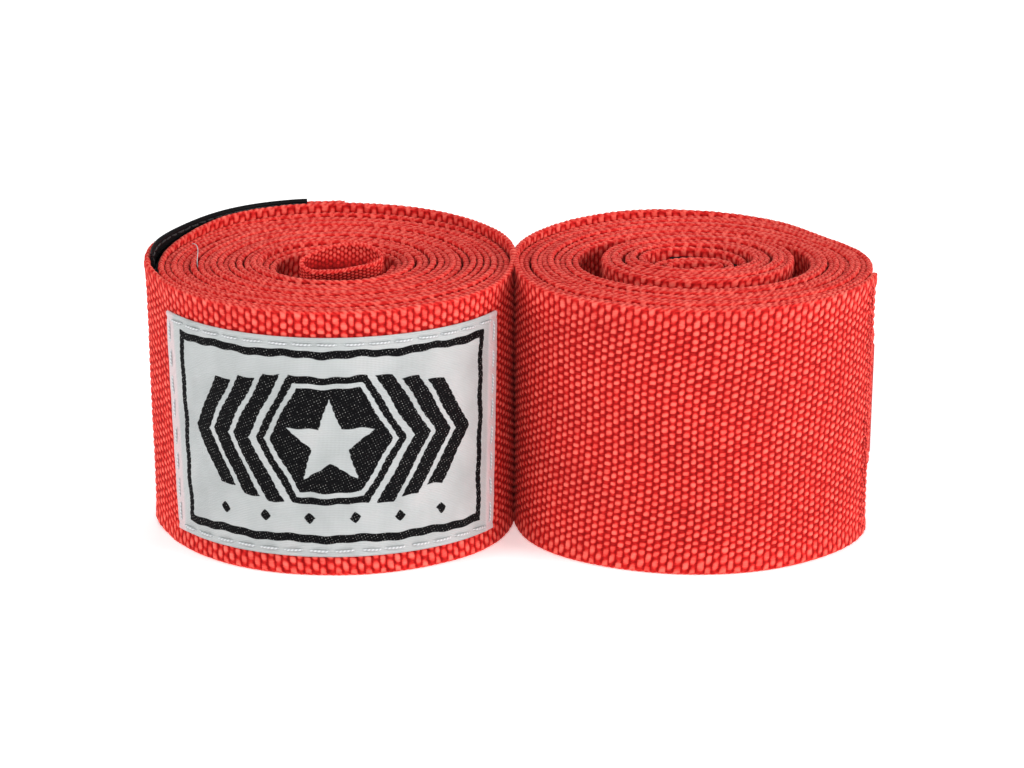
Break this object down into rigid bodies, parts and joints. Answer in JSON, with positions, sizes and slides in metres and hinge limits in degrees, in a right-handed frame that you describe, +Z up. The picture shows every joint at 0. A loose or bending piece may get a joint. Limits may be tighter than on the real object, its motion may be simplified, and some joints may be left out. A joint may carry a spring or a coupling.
{
  "type": "hand wrap",
  "caption": "Pair of rolled boxing hand wraps: long woven bands with a hook-and-loop closure, a sewn label and thumb loops, standing on edge side by side.",
  "frame": {"origin": "on the table, at the middle of the pair's bounding box", "axes": "+X from the labelled roll to the plain roll, -Y towards the labelled front, +Z up along the rolls' axes"},
  "size_m": [0.1398, 0.0712, 0.0541],
  "materials": {
    "band_fabric": "coarse plain weave, matt, slightly fuzzy",
    "hem_fabric": "the same weave, folded under",
    "loop_strap": "narrow woven strap, matt",
    "hook_tape": "black hook tape",
    "loop_tape": "black brushed loop tape",
    "woven_label": "satin-woven label with a black woven border and motif",
    "white_thread": "twisted sewing thread",
    "red_thread": "twisted sewing thread",
    "black_thread": "twisted sewing thread"
  },
  "bodies": {
    "left_coil": {"left_band_coil": "band_fabric", "left_loop_tape": "loop_tape", "left_loop_tape_stitching": "black_thread", "left_label": "woven_label", "left_label_stitching": "white_thread"},
    "left_flap": {"left_closure_flap": "band_fabric", "left_hook_tape": "hook_tape", "left_hook_tape_stitching": "black_thread", "left_flap_hem": "hem_fabric", "left_flap_hem_stitching": "red_thread"},
    "left_core": {"left_band_core": "band_fabric", "left_loop_bartack": "red_thread"},
    "left_thumb_loop": {"left_thumb_loop": "loop_strap"},
    "right_coil": {"right_band_coil": "band_fabric"},
    "right_end": {"right_band_end": "band_fabric", "right_end_hem": "hem_fabric", "right_end_hem_stitching": "red_thread"},
    "right_thumb_loop": {"right_thumb_loop": "loop_strap", "right_loop_bartack": "red_thread"},
    "right_core": {"right_band_core": "band_fabric", "right_hook_tape": "hook_tape", "right_hook_tape_stitching": "black_thread", "right_loop_tape": "loop_tape", "right_loop_tape_stitching": "black_thread", "right_label": "woven_label", "right_label_stitching": "white_thread"}
  },
  "joints": [
    {"name": "closure_peel", "type": "hinge", "parent": "left_coil", "child": "left_flap", "pos_m": [-0.06457, -0.0149, 0], "axis": [0, 0, 1], "range_deg": [0, 110]},
    {"name": "left_core_telescope", "type": "slide", "parent": "left_coil", "child": "left_core", "axis": [0, 0, 1], "range_m": [0, 0.012]},
    {"name": "left_thumb_loop_swing", "type": "hinge", "parent": "left_core", "child": "left_thumb_loop", "pos_m": [-0.0244, -0.00149, 0], "axis": [0, 0, 1], "range_deg": [-20, 15]},
    {"name": "wraps_apart", "type": "slide", "parent": "left_coil", "child": "right_coil", "axis": [1, 0, 0], "range_m": [0, 0.1]},
    {"name": "end_peel", "type": "hinge", "parent": "right_coil", "child": "right_end", "pos_m": [0.05183, -0.02877, 0], "axis": [0, 0, -1], "range_deg": [0, 90]},
    {"name": "right_thumb_loop_swing", "type": "hinge", "parent": "right_end", "child": "right_thumb_loop", "pos_m": [0.06904, -0.00811, 0], "axis": [0, 0, -1], "range_deg": [0, 90]},
    {"name": "right_core_telescope", "type": "slide", "parent": "right_coil", "child": "right_core", "axis": [0, 0, 1], "range_m": [0, 0.012]}
  ]
}
